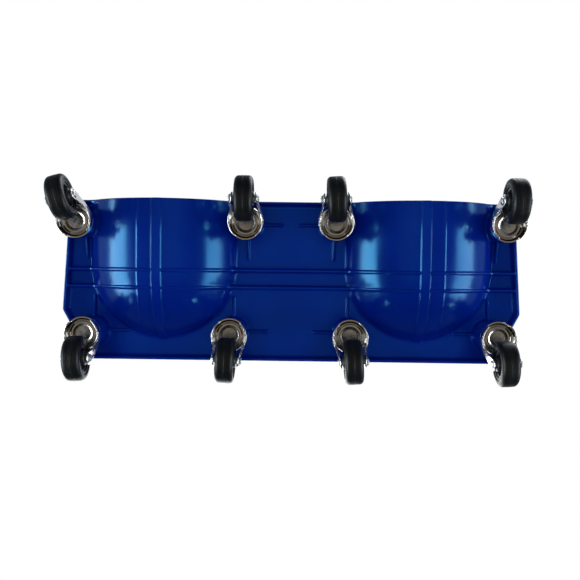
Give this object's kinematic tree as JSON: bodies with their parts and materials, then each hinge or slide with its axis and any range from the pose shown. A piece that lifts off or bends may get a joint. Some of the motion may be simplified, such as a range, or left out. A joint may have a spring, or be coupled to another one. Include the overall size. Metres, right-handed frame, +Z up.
{
  "type": "rolling kneeling creeper",
  "caption": "Low moulded kneeling creeper with two padded half-round knee wells open to the rear, on swivel casters, for work on wheels and low bodywork.",
  "frame": {"origin": "centre of the footprint on the floor, at the level the wheels stand on", "axes": "+Z up, X along the length, +Y towards the open rear ends of the knee wells"},
  "size_m": [0.5508, 0.2312, 0.113],
  "materials": {
    "tray_plastic": "glossy injection-moulded blue plastic",
    "pad_cover": "padded black fabric over foam",
    "zinc_steel": "bright zinc-plated steel",
    "fork_steel": "bright plated pressed steel",
    "bearing_steel": "polished bearing steel",
    "hub_plastic": "moulded black wheel centre",
    "tyre_rubber": "black moulded rubber"
  },
  "bodies": {
    "tray": {"tray_deck": "tray_plastic", "tray_skirt": "tray_plastic", "knee_well_left": "tray_plastic", "knee_well_right": "tray_plastic", "caster_pillars": "tray_plastic", "knee_pad_left": "pad_cover", "knee_pad_right": "pad_cover", "caster_stems": "zinc_steel", "upper_raceways": "zinc_steel", "ball_bearings": "bearing_steel", "stem_washers": "zinc_steel", "stem_nuts": "zinc_steel"},
    "caster_fork_1": {"fork_1": "fork_steel", "axle_bolt_1": "zinc_steel", "axle_nut_1": "zinc_steel", "bush_1": "bearing_steel"},
    "wheel_1": {"hub_1": "hub_plastic", "tyre_1": "tyre_rubber"},
    "caster_fork_2": {"fork_2": "fork_steel", "axle_bolt_2": "zinc_steel", "axle_nut_2": "zinc_steel", "bush_2": "bearing_steel"},
    "wheel_2": {"hub_2": "hub_plastic", "tyre_2": "tyre_rubber"},
    "caster_fork_3": {"fork_3": "fork_steel", "axle_bolt_3": "zinc_steel", "axle_nut_3": "zinc_steel", "bush_3": "bearing_steel"},
    "wheel_3": {"hub_3": "hub_plastic", "tyre_3": "tyre_rubber"},
    "caster_fork_4": {"fork_4": "fork_steel", "axle_bolt_4": "zinc_steel", "axle_nut_4": "zinc_steel", "bush_4": "bearing_steel"},
    "wheel_4": {"hub_4": "hub_plastic", "tyre_4": "tyre_rubber"},
    "caster_fork_5": {"fork_5": "fork_steel", "axle_bolt_5": "zinc_steel", "axle_nut_5": "zinc_steel", "bush_5": "bearing_steel"},
    "wheel_5": {"hub_5": "hub_plastic", "tyre_5": "tyre_rubber"},
    "caster_fork_6": {"fork_6": "fork_steel", "axle_bolt_6": "zinc_steel", "axle_nut_6": "zinc_steel", "bush_6": "bearing_steel"},
    "wheel_6": {"hub_6": "hub_plastic", "tyre_6": "tyre_rubber"},
    "caster_fork_7": {"fork_7": "fork_steel", "axle_bolt_7": "zinc_steel", "axle_nut_7": "zinc_steel", "bush_7": "bearing_steel"},
    "wheel_7": {"hub_7": "hub_plastic", "tyre_7": "tyre_rubber"},
    "caster_fork_8": {"fork_8": "fork_steel", "axle_bolt_8": "zinc_steel", "axle_nut_8": "zinc_steel", "bush_8": "bearing_steel"},
    "wheel_8": {"hub_8": "hub_plastic", "tyre_8": "tyre_rubber"}
  },
  "joints": [
    {"name": "swivel_1", "type": "hinge", "parent": "tray", "child": "caster_fork_1", "pos_m": [0.2485, 0.065, 0.06], "axis": [0, 0, 1], "continuous": true},
    {"name": "wheel_spin_1", "type": "hinge", "parent": "caster_fork_1", "child": "wheel_1", "pos_m": [0.25497, 0.08915, 0.0254], "axis": [0.9659, -0.2588, 0], "continuous": true},
    {"name": "swivel_2", "type": "hinge", "parent": "tray", "child": "caster_fork_2", "pos_m": [0.052, 0.065, 0.06], "axis": [0, 0, 1], "continuous": true},
    {"name": "wheel_spin_2", "type": "hinge", "parent": "caster_fork_2", "child": "wheel_2", "pos_m": [0.052, 0.09, 0.0254], "axis": [1, 0, 0], "continuous": true},
    {"name": "swivel_3", "type": "hinge", "parent": "tray", "child": "caster_fork_3", "pos_m": [-0.052, 0.065, 0.06], "axis": [0, 0, 1], "continuous": true},
    {"name": "wheel_spin_3", "type": "hinge", "parent": "caster_fork_3", "child": "wheel_3", "pos_m": [-0.05069, 0.08997, 0.0254], "axis": [0.9986, -0.0523, 0], "continuous": true},
    {"name": "swivel_4", "type": "hinge", "parent": "tray", "child": "caster_fork_4", "pos_m": [-0.2485, 0.065, 0.06], "axis": [0, 0, 1], "continuous": true},
    {"name": "wheel_spin_4", "type": "hinge", "parent": "caster_fork_4", "child": "wheel_4", "pos_m": [-0.2485, 0.09, 0.0254], "axis": [1, 0, 0], "continuous": true},
    {"name": "swivel_5", "type": "hinge", "parent": "tray", "child": "caster_fork_5", "pos_m": [0.2395, -0.065, 0.06], "axis": [0, 0, 1], "continuous": true},
    {"name": "wheel_spin_5", "type": "hinge", "parent": "caster_fork_5", "child": "wheel_5", "pos_m": [0.23819, -0.08997, 0.0254], "axis": [-0.9986, 0.0523, 0], "continuous": true},
    {"name": "swivel_6", "type": "hinge", "parent": "tray", "child": "caster_fork_6", "pos_m": [0.0695, -0.065, 0.06], "axis": [0, 0, 1], "continuous": true},
    {"name": "wheel_spin_6", "type": "hinge", "parent": "caster_fork_6", "child": "wheel_6", "pos_m": [0.07081, -0.08997, 0.0254], "axis": [-0.9986, -0.0523, 0], "continuous": true},
    {"name": "swivel_7", "type": "hinge", "parent": "tray", "child": "caster_fork_7", "pos_m": [-0.0695, -0.065, 0.06], "axis": [0, 0, 1], "continuous": true},
    {"name": "wheel_spin_7", "type": "hinge", "parent": "caster_fork_7", "child": "wheel_7", "pos_m": [-0.07124, -0.08994, 0.0254], "axis": [-0.9976, 0.0698, 0], "continuous": true},
    {"name": "swivel_8", "type": "hinge", "parent": "tray", "child": "caster_fork_8", "pos_m": [-0.2395, -0.065, 0.06], "axis": [0, 0, 1], "continuous": true},
    {"name": "wheel_spin_8", "type": "hinge", "parent": "caster_fork_8", "child": "wheel_8", "pos_m": [-0.24081, -0.08997, 0.0254], "axis": [-0.9986, 0.0523, 0], "continuous": true}
  ]
}
